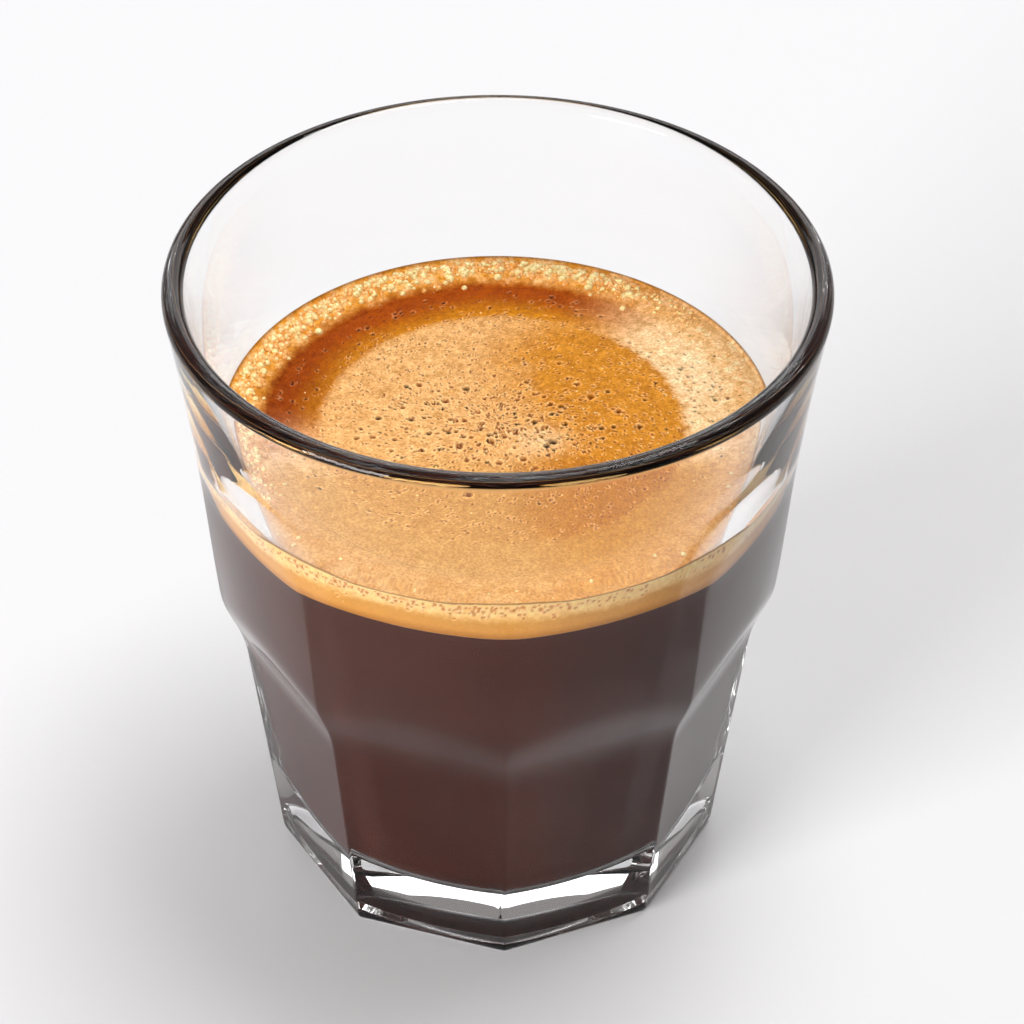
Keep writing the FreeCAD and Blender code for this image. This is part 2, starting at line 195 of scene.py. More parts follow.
def flat_distance(heights):
    """How far a flat side lies from the axis: straight, then the shoulder's outward slope."""
    corners = [(inside_radius(z) + wall, z) for z, wall in zip(FLAT_HEIGHTS, FLAT_WALLS)]
    path = rounded_path(corners, SHOULDER_ROUND)
    slopes = [(b[0] - a[0]) / (b[1] - a[1]) for a, b in zip(corners, corners[1:])]
    distance = np.interp(heights, path[:, 1], path[:, 0])
    low, high = heights < corners[0][1], heights > corners[-1][1]
    distance[low] = corners[0][0] + (heights[low] - corners[0][1]) * slopes[0]
    distance[high] = corners[-1][0] + (heights[high] - corners[-1][1]) * slopes[-1]
    under = np.clip(FOOT_ROUND - heights, 0, FOOT_ROUND)
    return distance - FOOT_ROUND + np.sqrt(FOOT_ROUND ** 2 - under ** 2)


def panel_distance(heights):
    """How far the middle of a bulged panel above the shoulder lies from the axis."""
    (low, high), walls = PANEL_HEIGHTS, PANEL_WALLS
    start, end = inside_radius(low) + walls[0], inside_radius(high) + walls[1]
    slope = (end - start) / (high - low)
    run = np.clip(heights - high, 0, None)
    return start + (heights - low) * slope + run ** 2 / (2 * RUNOUT_RADIUS)


def soft_least(first, second, softness):
    """The smaller of two surfaces, with their corner rounded off."""
    return first - softness * np.logaddexp(0, (first - second) / softness)


def round_radius(heights):
    """Radius of the round body before its flats are cut, and where the lip takes over."""
    foot = np.array([inside_radius(0) + BLANK_FOOT_WALL, 0.0])
    waist = np.array([inside_radius(WAIST_HEIGHT) + WAIST_WALL, WAIST_HEIGHT])
    lean = math.atan2(waist[0] - foot[0], waist[1])
    normal = np.array([math.cos(lean), -math.sin(lean)])
    to_lip = waist - np.array(LIP_CENTRE)
    flare = (to_lip @ to_lip - LIP_RADIUS ** 2) / (2 * (LIP_RADIUS - to_lip @ normal))
    centre = waist + normal * flare
    straight = foot[0] + heights * math.tan(lean)
    curved = centre[0] - np.sqrt(flare ** 2 - (heights - centre[1]) ** 2)
    meets = np.array(LIP_CENTRE) - centre
    lip_angle = math.atan2(-meets[1], -meets[0])
    return np.where(heights < WAIST_HEIGHT, straight, curved), lip_angle


def side_angles():
    """Angles around the axis, closer together at the ridges; one ridge points along -Y."""
    half = math.pi / SIDES
    fine = math.radians(1.6)
    middle = np.linspace(-(half - fine), half - fine, 25)
    edge = np.linspace(half - fine, half, 8)[1:]
    one = np.concatenate([-edge[::-1][1:], middle, edge])
    centres = -math.pi / 2 + half + np.arange(SIDES) * 2 * half
    return one, centres


def ridged(distance, offset, one):
    """Radii of sides that are arcs about an axis set back by offset, with rounded ridges."""
    half = math.pi / SIDES
    distance, across = distance[:, None], np.abs(one)[None, :]
    reach = distance + offset
    side = np.sqrt(reach ** 2 - (offset * np.sin(across)) ** 2) - offset * np.cos(across)
    # the ridge's round sits where both neighbours touch it
    inner = reach - RIDGE_ROUND
    ridge = np.sqrt(inner ** 2 - (offset * math.sin(half)) ** 2) - offset * math.cos(half)
    touch_turn = np.arcsin(ridge * math.sin(half) / inner)
    touch = np.arctan2(reach * np.sin(touch_turn), reach * np.cos(touch_turn) - offset)
    delta = half - across
    rounded = ridge * np.cos(delta) + np.sqrt(
        np.maximum(RIDGE_ROUND ** 2 - (ridge * np.sin(delta)) ** 2, 0))
    return np.where(across > touch, rounded, side)


def body_radii(heights, one):
    """Radii of the pressed body over one side: flats, shoulder, bulged panels, round top."""
    flats = ridged(flat_distance(heights), FLAT_AXIS_OFFSET, one)
    panels = ridged(panel_distance(heights), PANEL_AXIS_OFFSET, one)
    blank, lip_angle = round_radius(heights)
    pressed = soft_least(flats, panels, SHOULDER_SOFTNESS)
    return soft_least(pressed, blank[:, None], ARCH_SOFTNESS), lip_angle


def make_glass():
    """The tumbler as one smooth shell: foot, flats, flared wall, lip, cone and floor."""
    one, centres = side_angles()
    # the rows lie closest at the foot's round, the shoulder and the arches of the panels
    heights = np.unique(np.round(np.concatenate([
        FOOT_ROUND * (1 - np.cos(np.linspace(0, math.pi / 2, 7))),
        np.linspace(FOOT_ROUND, 24.5, 22), np.linspace(24.5, 35.0, 36),
        np.linspace(35.0, 44.0, 10), np.linspace(44.0, 55.0, 38),
        np.linspace(55.0, LIP_CENTRE[1] - 0.2, 14)]), 4))
    side_radii, lip_angle = body_radii(heights, one)
    radii = np.tile(side_radii, (1, SIDES))
    angles = (centres[:, None] + one[None, :]).reshape(-1)
    count = len(angles)

    def ring(radius, height):
        return np.stack([radius * np.cos(angles), radius * np.sin(angles),
                         np.full(count, height)], axis=-1)

    rings = [ring(RECESS_RADIUS * 0.6, RECESS_DEPTH),
             ring(RECESS_RADIUS - RECESS_DEPTH - 0.15, RECESS_DEPTH),
             ring(RECESS_RADIUS - RECESS_DEPTH + 0.1, RECESS_DEPTH - 0.06),
             ring(RECESS_RADIUS - 0.1, 0.06), ring(RECESS_RADIUS + 0.2, 0.0)]
    rings += [ring(radii[0] * share, 0.0) for share in (0.975, 0.99)]
    rings += [ring(radii[row], z) for row, z in enumerate(heights)]
    for turn in np.linspace(lip_angle, math.pi - CONE_LEAN, 24):
        rings.append(ring(LIP_CENTRE[0] + LIP_RADIUS * math.cos(turn),
                          LIP_CENTRE[1] + LIP_RADIUS * math.sin(turn)))
    bend_low = FLOOR + FLOOR_ROUND * (1 - math.sin(CONE_LEAN))
    for z in np.linspace(LIP_CENTRE[1] + 0.1, bend_low, 42)[1:]:
        rings.append(ring(inside_radius(z), z))
    for turn in np.linspace(CONE_LEAN, math.pi / 2, 12)[1:]:
        rings.append(ring(BEND_START + FLOOR_ROUND * math.cos(turn),
                          FLOOR + FLOOR_ROUND * (1 - math.sin(turn))))
    rings += [ring(BEND_START * share, FLOOR) for share in (0.75, 0.4)]
    piece = closed_rings("tumbler_glass", np.array(rings))
    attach(piece, "root")
    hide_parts("glass")
    return piece


# ------------------------------------------------------------------ drink

INTO_WALL = 0.12
# the last ring before an edge lies this close to it, so that smooth shading keeps it crisp
EDGE_GAP = 0.04


def drink_outline(top):
    """Outline of the drink from the bottom centre out and up the wall, just into the glass."""
    bend = FLOOR_ROUND + INTO_WALL
    radii, heights = [BEND_START * 0.5, BEND_START], [FLOOR - INTO_WALL] * 2
    for turn in np.linspace(math.pi / 2, CONE_LEAN, 14)[1:]:
        radii.append(BEND_START + bend * math.cos(turn))
        heights.append(FLOOR + FLOOR_ROUND - bend * math.sin(turn))
    for z in [*np.linspace(heights[-1], top - EDGE_GAP, 20)[1:], top]:
        radii.append(inside_radius(z) + INTO_WALL / math.cos(CONE_LEAN))
        heights.append(z)
    return radii, heights


def make_coffee():
    """The coffee: one dark turned body that fills the glass without an air gap."""
    radii, heights = drink_outline(COFFEE_LEVEL)
    radii += [radii[-1] - EDGE_GAP, *(radii[-1] * share for share in (0.7, 0.3))]
    heights += [COFFEE_LEVEL] * 3
    piece = turned("espresso_coffee", radii, heights)
    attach(piece, "root")
    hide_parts("coffee")
    return piece


# ------------------------------------------------------------------ crema

CREMA_SAG = 0.9
CREMA_COLLAR = 4.4
# the collar's crest lies this far under the line where the crema meets the glass
CREST_DROP = 0.28
# radius where the ring of the collar takes over from the disc inside it
SPLIT_RADIUS = 22.3
POOL_COLUMNS = 620
POOL_ROWS = 146
COLLAR_COLUMNS = 1300
COLLAR_ROWS = 34
# the pool is the smooth middle of the crema, a little off its centre
POOL_CENTRE = (0.5, -0.5)
POOL_RADIUS = 17.7
# burst bubbles stay inside this radius
PIT_REACH = 24.6
# radius at which the crema's side is unrolled to paint it
SIDE_RADIUS = 26.0


def linear(*colour):
    """Scene-linear colour of an 8-bit display colour."""
    share = np.array(colour, float) / 255
    return np.where(share <= 0.04045, share / 12.92, ((share + 0.055) / 1.055) ** 2.4)


TAN = linear(234, 180, 116)
GOLDEN = linear(210, 137, 22)
DEEP = linear(162, 72, 0)
COLLAR_TONE = linear(238, 165, 58)
CREAM = linear(255, 217, 168)
# painted shade inside burst bubbles, a painted highlight on their lips, near-black painted shade
# in the darkest
PIT_SHADE = linear(122, 50, 4)
PIT_LIP_HIGHLIGHT = linear(255, 222, 164)
PIT_DEEP_SHADE = linear(38, 18, 10)
BAND_FOAM = linear(255, 208, 132)
BAND_SMOOTH = linear(220, 154, 66)
BAND_LOW = linear(186, 119, 43)
BAND_SPECK = linear(192, 106, 22)
# the thin line where the crema ends at the glass, from above and from the side
EDGE_LINE = linear(120, 70, 32)
SIDE_LINE = linear(116, 66, 34)
BUBBLE_BODY = linear(244, 166, 58)
# a painted highlight on a bubble's top and painted shade at its foot
BUBBLE_PAINTED_HIGHLIGHT = linear(255, 228, 156)
BUBBLE_FOOT_PAINTED_SHADE = linear(184, 92, 12)
# darker specks of foam are also deeper in colour
DARKER_IS_DEEPER = np.array([0.75, 1.05, 1.6])
# painted shade, partly the foam's own deeper colour: on the left of the deep band and over the
# front, most of all to the right
LEFT_PAINTED_SHADE = np.array([0.78, 0.74, 1.0])
FRONT_PAINTED_SHADE = np.array([0.77, 0.71, 0.5])
FRONT_RIGHT_PAINTED_SHADE = np.array([0.95, 0.80, 0.4])
# no painted colour is brighter than this
BRIGHTEST = 0.95


def smooth_step(low, high, value):
    """0 below low, 1 above high and an S-curve between them."""
    share = np.clip((value - low) / (high - low), 0, 1)
    return share * share * (3 - 2 * share)


def lattice_noise(x, y, cell, seed):
    """Smooth random field between -1 and 1 whose bumps are about one cell wide."""
    table = np.random.default_rng(seed).uniform(-1, 1, (256, 256))
    x, y = x / cell, y / cell
    column, row = np.floor(x).astype(int), np.floor(y).astype(int)
    u, v = smooth_step(0, 1, x - column), smooth_step(0, 1, y - row)
    corner = [[table[(column + i) % 256, (row + j) % 256] for j in (0, 1)] for i in (0, 1)]
    return ((corner[0][0] * (1 - u) + corner[1][0] * u) * (1 - v)
            + (corner[0][1] * (1 - u) + corner[1][1] * u) * v)


def cloud_noise(x, y, cell, seed, octaves=4):
    """Several sizes of lattice noise added up, each half as wide and weaker than the last."""
    total, weight, sum_of_weights = 0, 1.0, 0
    for octave in range(octaves):
        turn = 0.7 * octave
        along = x * math.cos(turn) + y * math.sin(turn)
        across = y * math.cos(turn) - x * math.sin(turn)
        total = total + weight * lattice_noise(along + 57, across + 83, cell / 2 ** octave,
                                               seed + octave)
        sum_of_weights += weight
        weight *= 0.6
    return total / sum_of_weights


def blend(first, second, share):
    """Colours between two colours, by a share for every point."""
    return first + (second - first) * np.asarray(share)[..., None]


def foam_height(x, y):
    """Level of the crema: a shallow dish whose rim rolls up to the glass, gently uneven."""
    radius = np.hypot(x, y)
    edge = inside_radius(CREMA_LEVEL)
    climb = np.clip((radius - (edge - CREMA_COLLAR)) / CREMA_COLLAR, 0, 1)
    crest = CREMA_LEVEL - CREST_DROP
    level = crest - (CREMA_SAG - CREST_DROP) * (1 - np.sin(climb * math.pi / 2))
    level = level + CREST_DROP * smooth_step(edge - 0.45, edge, radius) ** 2
    from_pool = np.hypot(x - POOL_CENTRE[0], y - POOL_CENTRE[1])
    free = 1 - smooth_step(edge - 2.0, edge - 0.3, radius)
    level = level + 0.10 * (1 - smooth_step(POOL_RADIUS - 0.8, POOL_RADIUS + 0.8, from_pool))
    return level + free * (0.09 * cloud_noise(x, y, 6.0, 11)
                           + 0.085 * cloud_noise(x, y, 0.9, 31, octaves=3))


def pool_tone(x, y, wander, fine):
    """Colour of the pool: tan to the left, golden to the right, a pale island in front."""
    golden = smooth_step(-3.0, 6.0, x + 4.0 * wander + 1.2 * fine)
    golden = golden * (1 - 0.55 * smooth_step(9.0, 16.0, y - 0.5 * x + 3 * wander))
    golden = golden * (1 - 0.45 * smooth_step(6.0, 10.0, -y))
    colour = blend(np.broadcast_to(TAN, (*np.shape(x), 3)), GOLDEN, 0.9 * golden)
    island = np.exp(-(((x - 3.6) / 2.6) ** 2 + ((y + 3.2) / 2.2) ** 2)) * (0.9 + 0.6 * wander)
    return blend(colour, CREAM, np.clip(island, 0, 1))


def foam_tone(x, y):
    """Colour of the crema: the pool, a deep orange band behind it, cream beside it, collar, and
    painted shade to the left and in front.
    """
    radius, around = np.hypot(x, y), np.degrees(np.arctan2(y, x)) % 360
    wander = cloud_noise(x, y, 5.0, 41)
    fine = cloud_noise(x, y, 0.8, 51, octaves=3)
    colour = pool_tone(x, y, wander, fine)
    # outside the pool: deep orange behind and to the left, cream to the right
    from_pool = np.hypot(x - POOL_CENTRE[0], y - POOL_CENTRE[1]) + 0.5 * fine
    outside = smooth_step(POOL_RADIUS - 0.7, POOL_RADIUS + 0.6, from_pool)
    behind = smooth_step(36, 72, around) * (1 - smooth_step(170, 200, around))
    pale = np.clip(0.8 + 0.4 * wander, 0, 1.15) * (1 - 0.8 * smooth_step(3.0, 9.0, -y))
    colour = blend(colour, blend(TAN, CREAM, pale), outside * (1 - behind))
    depth = smooth_step(POOL_RADIUS - 0.6, POOL_RADIUS + 4.0, from_pool + 0.6 * wander)
    colour = blend(colour, blend(GOLDEN, DEEP, depth), outside * behind)
    # painted shade, partly the foam's own colour: the left end of the deep band is darker
    left = outside * behind * smooth_step(115, 165, around)
    colour = colour * blend(np.ones(3), LEFT_PAINTED_SHADE, left)
    # the collar of froth
    collar = smooth_step(22.2, 24.0, radius + 0.35 * fine)
    froth = blend(COLLAR_TONE, CREAM, np.clip(0.2 + 0.7 * fine, 0, 1) * collar)
    colour = blend(colour, froth, collar * (0.35 + 0.65 * behind))
    # mottling, weaker in front
    mottle = 0.28 * fine + 0.27 * cloud_noise(x, y, 0.4, 61, octaves=2)
    mottle = mottle * (1 - 0.6 * smooth_step(6.5, 10.0, -y))
    colour = colour * (1 + mottle[..., None] * DARKER_IS_DEEPER)
    # painted shade, partly the foam's own colour: the front is a deeper gold, most of all to the
    # right, as the front looks through the glass wall
    front = smooth_step(4.5, 9.0, -y) * (1 - 0.4 * smooth_step(20.5, 24.0, radius))
    colour = colour * blend(np.ones(3), FRONT_PAINTED_SHADE, front)
    right = front * smooth_step(0.0, 10.0, x)
    colour = colour * blend(np.ones(3), FRONT_RIGHT_PAINTED_SHADE, right)
    edge = inside_radius(CREMA_LEVEL)
    return blend(colour, EDGE_LINE, 0.6 * smooth_step(edge - 0.22, edge - 0.05, radius))


def scatter_pits():
    """Burst bubbles: where they lie, how wide and deep they are and how dark the painted shade
    inside is.
    """
    rng = np.random.default_rng(7)
    pits = []

    def add(x, y, radius, dark):
        if np.hypot(x, y) < PIT_REACH:
            pits.append((x, y, radius, 0.75 * radius, dark))

    for _ in range(620):  # the loose cluster in front of the middle
        radius = float(np.clip(rng.lognormal(-1.75, 0.42), 0.1, 0.42))
        add(rng.normal(2.2, 7.2), rng.normal(-0.8, 4.4), radius, rng.random() < 0.27)
    for _ in range(1500):  # fine pores everywhere in the pool
        reach, turn = 18.5 * math.sqrt(rng.random()), rng.uniform(0, TURN)
        add(reach * math.cos(turn), reach * math.sin(turn), rng.uniform(0.08, 0.19), False)
    for _ in range(95):  # dark dots in the deep band behind and to the left
        around = rng.choice([68, 84, 100, 122, 140, 158, 178, 196]) + rng.normal(0, 9)
        turn, reach = math.radians(around), rng.normal(20.3, 1.0)
        add(reach * math.cos(turn), reach * math.sin(turn), rng.uniform(0.09, 0.24), True)
    for _ in range(70):  # a few on the pale right side
        turn, reach = math.radians(rng.normal(14, 16)), rng.uniform(18.5, 24.2)
        add(reach * math.cos(turn), reach * math.sin(turn), rng.uniform(0.09, 0.2),
            rng.random() < 0.4)
    # the few largest, given one by one
    pits += [(5.2, -3.4, 0.52, 0.4, True), (4.55, -3.3, 0.2, 0.15, True),
             (6.6, -2.9, 0.26, 0.2, True), (-1.2, -6.3, 0.3, 0.24, True)]
    return pits


def press_pits(x, y, height, colour, pits, inner=PIT_SHADE):
    """Sink the burst bubbles into the foam: a hollow, a raised lip with a painted highlight, and
    painted shade inside.
    """
    for px, py, radius, depth, dark in pits:
        near = (np.abs(x - px) < 1.7 * radius) & (np.abs(y - py) < 1.7 * radius)
        if not near.any():
            continue
        share = np.hypot(x[near] - px, y[near] - py) / radius
        hollow = np.clip(1 - share ** 2, 0, 1)
        lip = np.exp(-((share - 1.2) / 0.22) ** 2)
        height[near] += 0.3 * depth * lip - depth * hollow
        inside = np.clip(1.25 * hollow, 0, 1)
        # painted highlight on the raised lip
        lit = colour[near] * (1 + 0.5 * lip[:, None])
        lit = lit * np.minimum(1, BRIGHTEST / lit.max(axis=1, keepdims=True))
        lit = blend(lit, PIT_LIP_HIGHLIGHT, 0.5 * lip * colour[near][:, 0])
        # painted shade inside the hollow, near black in the dark ones
        filling, share_of_filling = (PIT_DEEP_SHADE, 0.95) if dark else (inner, 0.85)
        colour[near] = blend(lit, filling, inside * share_of_filling)


def paint(piece, colours):
    """Store one foam colour for each point of a piece."""
    layer = piece.data.attributes.new("foam_colour", "FLOAT_COLOR", "POINT")
    rgba = np.ones((len(piece.data.vertices), 4), np.float32)
    rgba[:, :3] = np.clip(colours, 0.001, BRIGHTEST)
    layer.data.foreach_set("color", rgba.ravel())


def own_crema(piece):
    """Let a piece of the crema ride on the root body in place of the CAD's crema."""
    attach(piece, "root")
    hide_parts("crema")
    return piece


def make_pool(pits):
    """Top of the crema inside the collar, as one finely divided closed disc."""
    columns = POOL_COLUMNS
    # the last ring dips under the collar
    radii = np.concatenate([np.linspace(0.12, SPLIT_RADIUS, POOL_ROWS), [SPLIT_RADIUS + 0.14]])
    turns = np.arange(columns) * TURN / columns
    x = radii[:, None] * np.cos(turns)
    y = radii[:, None] * np.sin(turns)
    height, colour = foam_height(x, y), foam_tone(x, y).copy()
    press_pits(x, y, height, colour, pits)
    height[-1] -= 0.12
    top = np.stack([x, y, height], axis=-1)[::-1]
    under = np.stack([x[-1], y[-1], np.full(columns, COFFEE_LEVEL)], axis=-1)
    rings = np.concatenate([[under * [0.5, 0.5, 1]], [under], top])
    piece = closed_rings("crema_pool", rings)
    tones = np.concatenate([[colour[-1], colour[-1]], colour[::-1]]).reshape(-1, 3)
    paint(piece, np.concatenate([tones, [TAN, tones[-1]]]))
    return own_crema(piece)


def unrolled(turns):
    """Length along the crema's side up to an angle, counted from the front."""
    return (turns + 0.5 * math.pi) % TURN * SIDE_RADIUS


def side_tone(along, heights):
    """Colour of the crema against the glass: grainy froth over smooth tan foam."""
    fine = cloud_noise(along, heights, 0.45, 71, octaves=3)
    wander = cloud_noise(along, heights * 3, 6.0, 81)
    froth = smooth_step(48.6, 49.9, heights + 0.55 * wander + 0.25 * fine)
    smooth = blend(BAND_LOW, BAND_SMOOTH, smooth_step(46.4, 47.6, heights + 0.2 * wander))
    colour = blend(smooth, BAND_FOAM, froth)
    colour = colour * (1 + ((0.05 + 0.17 * froth) * fine)[..., None] * DARKER_IS_DEEPER)
    line = smooth_step(CREMA_LEVEL - 0.17, CREMA_LEVEL - 0.11, heights)
    return blend(colour, SIDE_LINE, 0.65 * line)


def side_specks():
    """Specks in the froth against the wall, most of them from the front left to the middle."""
    rng = np.random.default_rng(19)
    specks = []
    for _ in range(420):
        turn = rng.normal(4.45, 0.5) if rng.random() < 0.75 else rng.uniform(0, TURN)
        radius = rng.uniform(0.08, 0.26)
        height = CREMA_LEVEL - 0.35 - abs(rng.normal(0.1, 0.75))
        specks.append((unrolled(turn), height, radius, 0.0, False))
    return specks


def make_collar(pits):
    """Ring of the crema along the glass: its band against the wall and the froth on top."""
    columns, low = COLLAR_COLUMNS, COFFEE_LEVEL
    turns = np.arange(columns) * TURN / columns
    wall_heights = np.concatenate([[low], np.linspace(low + 0.03, CREMA_LEVEL - 0.3, 20),
                                   CREMA_LEVEL - np.array([0.22, 0.17, 0.13, 0.1, 0.05, 0.0])])
    grid_turn, grid_height = np.meshgrid(turns, wall_heights)
    along = unrolled(grid_turn)
    side_colour = side_tone(along, grid_height).copy()
    press_pits(along, grid_height, np.zeros_like(grid_height), side_colour, side_specks(),
               BAND_SPECK)
    into = INTO_WALL / math.cos(CONE_LEAN)
    wall = np.stack([(inside_radius(grid_height) + into) * np.cos(grid_turn),
                     (inside_radius(grid_height) + into) * np.sin(grid_turn),
                     grid_height], axis=-1)
    edge = inside_radius(CREMA_LEVEL)
    radii = np.concatenate([[edge], edge - np.array([0.06, 0.13]),
                            np.linspace(edge - 0.22, SPLIT_RADIUS, COLLAR_ROWS)])
    x = radii[:, None] * np.cos(turns)
    y = radii[:, None] * np.sin(turns)
    height, colour = foam_height(x, y), foam_tone(x, y).copy()
    press_pits(x, y, height, colour, pits)
    top = np.stack([x, y, np.minimum(height, CREMA_LEVEL)], axis=-1)
    under = np.stack([x[-1], y[-1], np.full(columns, low)], axis=-1)
    corner = wall[0] * [0.998, 0.998, 1]
    rings = np.concatenate([[under, corner], wall, top])
    faces = ring_faces(len(rings), columns)
    last = (len(rings) - 1) * columns
    for column in range(columns):
        after = (column + 1) % columns
        faces.append((last + column, last + after, after, column))
    piece = mesh_from("crema_collar", rings.reshape(-1, 3), faces)
    paint(piece, np.concatenate([side_colour[:1], side_colour[:1], side_colour,
                                 colour]).reshape(-1, 3))
    # the faces against the wall carry the second material
    slots = np.zeros(len(faces), np.int32)
    slots[2 * columns:(len(wall_heights) + 1) * columns] = 1
    piece.data.polygons.foreach_set("material_index", slots)
    return own_crema(piece)


def scatter_bubbles():
    """Standing bubbles: direction in degrees, distance from the axis, radius, share of painted
    highlight.
    """
    rng = np.random.default_rng(23)
    edge = inside_radius(CREMA_LEVEL)
    spots = []
    for _ in range(3200):  # the collar, most and largest behind and to the left
        turn = rng.uniform(0, 360)
        behind = float(smooth_step(20, 75, turn) * (1 - smooth_step(188, 220, turn)))
        if rng.random() > 0.07 + 0.93 * behind:
            continue
        radius = float(np.clip(rng.lognormal(-1.45, 0.42), 0.1, 0.5)) * (0.55 + 0.45 * behind)
        reach = edge - 0.25 - radius - abs(rng.normal(0, 1.15))
        # how much painted highlight the bubble's top gets
        painted_highlight = 1.0 if rng.random() < 0.3 + 0.25 * behind else rng.uniform(0.0, 0.35)
        spots.append((turn, reach, radius, painted_highlight))
    for _ in range(420):  # tiny ones scattered over the pool, densest among the pits
        x, y = rng.normal(2.0, 7.0), rng.normal(0.5, 5.5)
        spots.append((math.degrees(math.atan2(y, x)), math.hypot(x, y),
                      rng.uniform(0.07, 0.15), rng.uniform(0.2, 0.9)))
    turn, reach, radius, painted_highlight = np.array(spots).T
    keep = reach < edge - 0.3 - radius
    return turn[keep], reach[keep], radius[keep], painted_highlight[keep]


def unit_dome():
    """Points and faces of a closed dome of radius 1."""
    segments = 9
    lean = np.radians([-14, 18, 44, 68])
    spin = np.arange(segments) * TURN / segments
    points = np.stack([np.cos(lean)[:, None] * np.cos(spin), np.cos(lean)[:, None] * np.sin(spin),
                       np.repeat(np.sin(lean)[:, None], segments, axis=1)], axis=-1)
    points = np.concatenate([points.reshape(-1, 3), [[0, 0, -0.3], [0, 0, 1]]])
    faces = ring_faces(len(lean), segments)
    faces += cap_faces(0, segments, len(points) - 2, flip=True)
    faces += cap_faces((len(lean) - 1) * segments, segments, len(points) - 1, flip=False)
    return points, faces


def make_bubbles():
    """Bubbles that stand in the froth, joined into one piece of small closed domes."""
    turn, reach, radius, painted_highlight = scatter_bubbles()
    x, y = reach * np.cos(np.radians(turn)), reach * np.sin(np.radians(turn))
    seat = np.minimum(foam_height(x, y) - 0.25 * radius, CREMA_LEVEL - radius)
    unit, shape = unit_dome()
    centres = np.stack([x, y, seat], axis=-1)
    points = (centres[:, None, :] + radius[:, None, None] * unit[None, :, :]).reshape(-1, 3)
    faces = [tuple(corner + len(unit) * dome for corner in face)
             for dome in range(len(x)) for face in shape]
    piece = mesh_from("crema_bubbles", points, faces)
    around = foam_tone(x, y)
    # painted light: each dome is painted lit and highlighted on top and shaded at its foot
    lit_top = blend(blend(around, BUBBLE_BODY, 0.7), BUBBLE_PAINTED_HIGHLIGHT, painted_highlight)
    shaded_foot = blend(around, BUBBLE_FOOT_PAINTED_SHADE, 0.6)
    rise = smooth_step(-0.1, 0.55, unit[:, 2])
    tones = shaded_foot[:, None, :] + (lit_top - shaded_foot)[:, None, :] * rise[None, :, None]
    paint(piece, tones.reshape(-1, 3))
    return own_crema(piece)


# -------------------------------------------------------------- materials

def new_material(name):
    """Material with its node tree and principled shader."""
    material = bpy.data.materials.new(name)
    material.use_nodes = True
    return material, material.node_tree, material.node_tree.nodes["Principled BSDF"]


def glass_material():
    """Clear glass with a muted outer gloss."""
    material, _, shader = new_material("clear_glass")
    shader.inputs["Base Color"].default_value = (0.985, 0.99, 0.992, 1)
    shader.inputs["Roughness"].default_value = 0.0
    shader.inputs["IOR"].default_value = 1.5
    shader.inputs["Transmission Weight"].default_value = 1.0
    shader.inputs["Specular Tint"].default_value = (0.22, 0.22, 0.22, 1)
    return material


def noise_node(tree, scale, detail):
    """Noise in the object's own coordinates; scale counts bumps per metre."""
    place = tree.nodes.new("ShaderNodeTexCoord")
    noise = tree.nodes.new("ShaderNodeTexNoise")
    noise.inputs["Scale"].default_value = scale
    noise.inputs["Detail"].default_value = detail
    tree.links.new(place.outputs["Object"], noise.inputs["Vector"])
    return noise


def spread(tree, noise, low, high):
    """Noise remapped so that it runs from low to high."""
    remap = tree.nodes.new("ShaderNodeMapRange")
    remap.inputs["From Min"].default_value = 0.3
    remap.inputs["From Max"].default_value = 0.7
    remap.inputs["To Min"].default_value = low
    remap.inputs["To Max"].default_value = high
    tree.links.new(noise.outputs["Fac"], remap.inputs["Value"])
    return remap.outputs["Result"]


# how much less than glass the drink bends light
COFFEE_IN_GLASS = 1.33 / 1.5
FOAM_IN_GLASS = 1.14 / 1.5


def wet_against_glass(tree, shader, ratio):
    """Let the contact with the glass mirror at low angles, as a liquid against glass does."""
    bend = tree.nodes.new("ShaderNodeFresnel")
    bend.inputs["IOR"].default_value = ratio
    mirror = tree.nodes.new("ShaderNodeBsdfGlossy")
    mirror.inputs["Roughness"].default_value = 0.0
    mirror.inputs["Color"].default_value = (1, 1, 1, 1)
    both = tree.nodes.new("ShaderNodeMixShader")
    tree.links.new(bend.outputs["Fac"], both.inputs[0])
    tree.links.new(shader.outputs["BSDF"], both.inputs[1])
    tree.links.new(mirror.outputs["BSDF"], both.inputs[2])
    tree.links.new(both.outputs["Shader"], tree.nodes["Material Output"].inputs["Surface"])


def coffee_material():
    """Dark brown liquid with faint lighter clouds in it."""
    material, tree, shader = new_material("black_coffee")
    clouds = noise_node(tree, 45.0, 3.0)
    ramp = tree.nodes.new("ShaderNodeValToRGB")
    ramp.color_ramp.elements[0].position = 0.36
    ramp.color_ramp.elements[0].color = (0.047, 0.0088, 0.0042, 1)
    ramp.color_ramp.elements[1].position = 0.66
    ramp.color_ramp.elements[1].color = (0.062, 0.0150, 0.0082, 1)
    tree.links.new(clouds.outputs["Fac"], ramp.inputs["Fac"])
    tree.links.new(ramp.outputs["Color"], shader.inputs["Base Color"])
    tree.links.new(spread(tree, clouds, 0.3, 0.42), shader.inputs["Roughness"])
    shader.inputs["Specular IOR Level"].default_value = 0.12
    wet_against_glass(tree, shader, COFFEE_IN_GLASS)
    return material


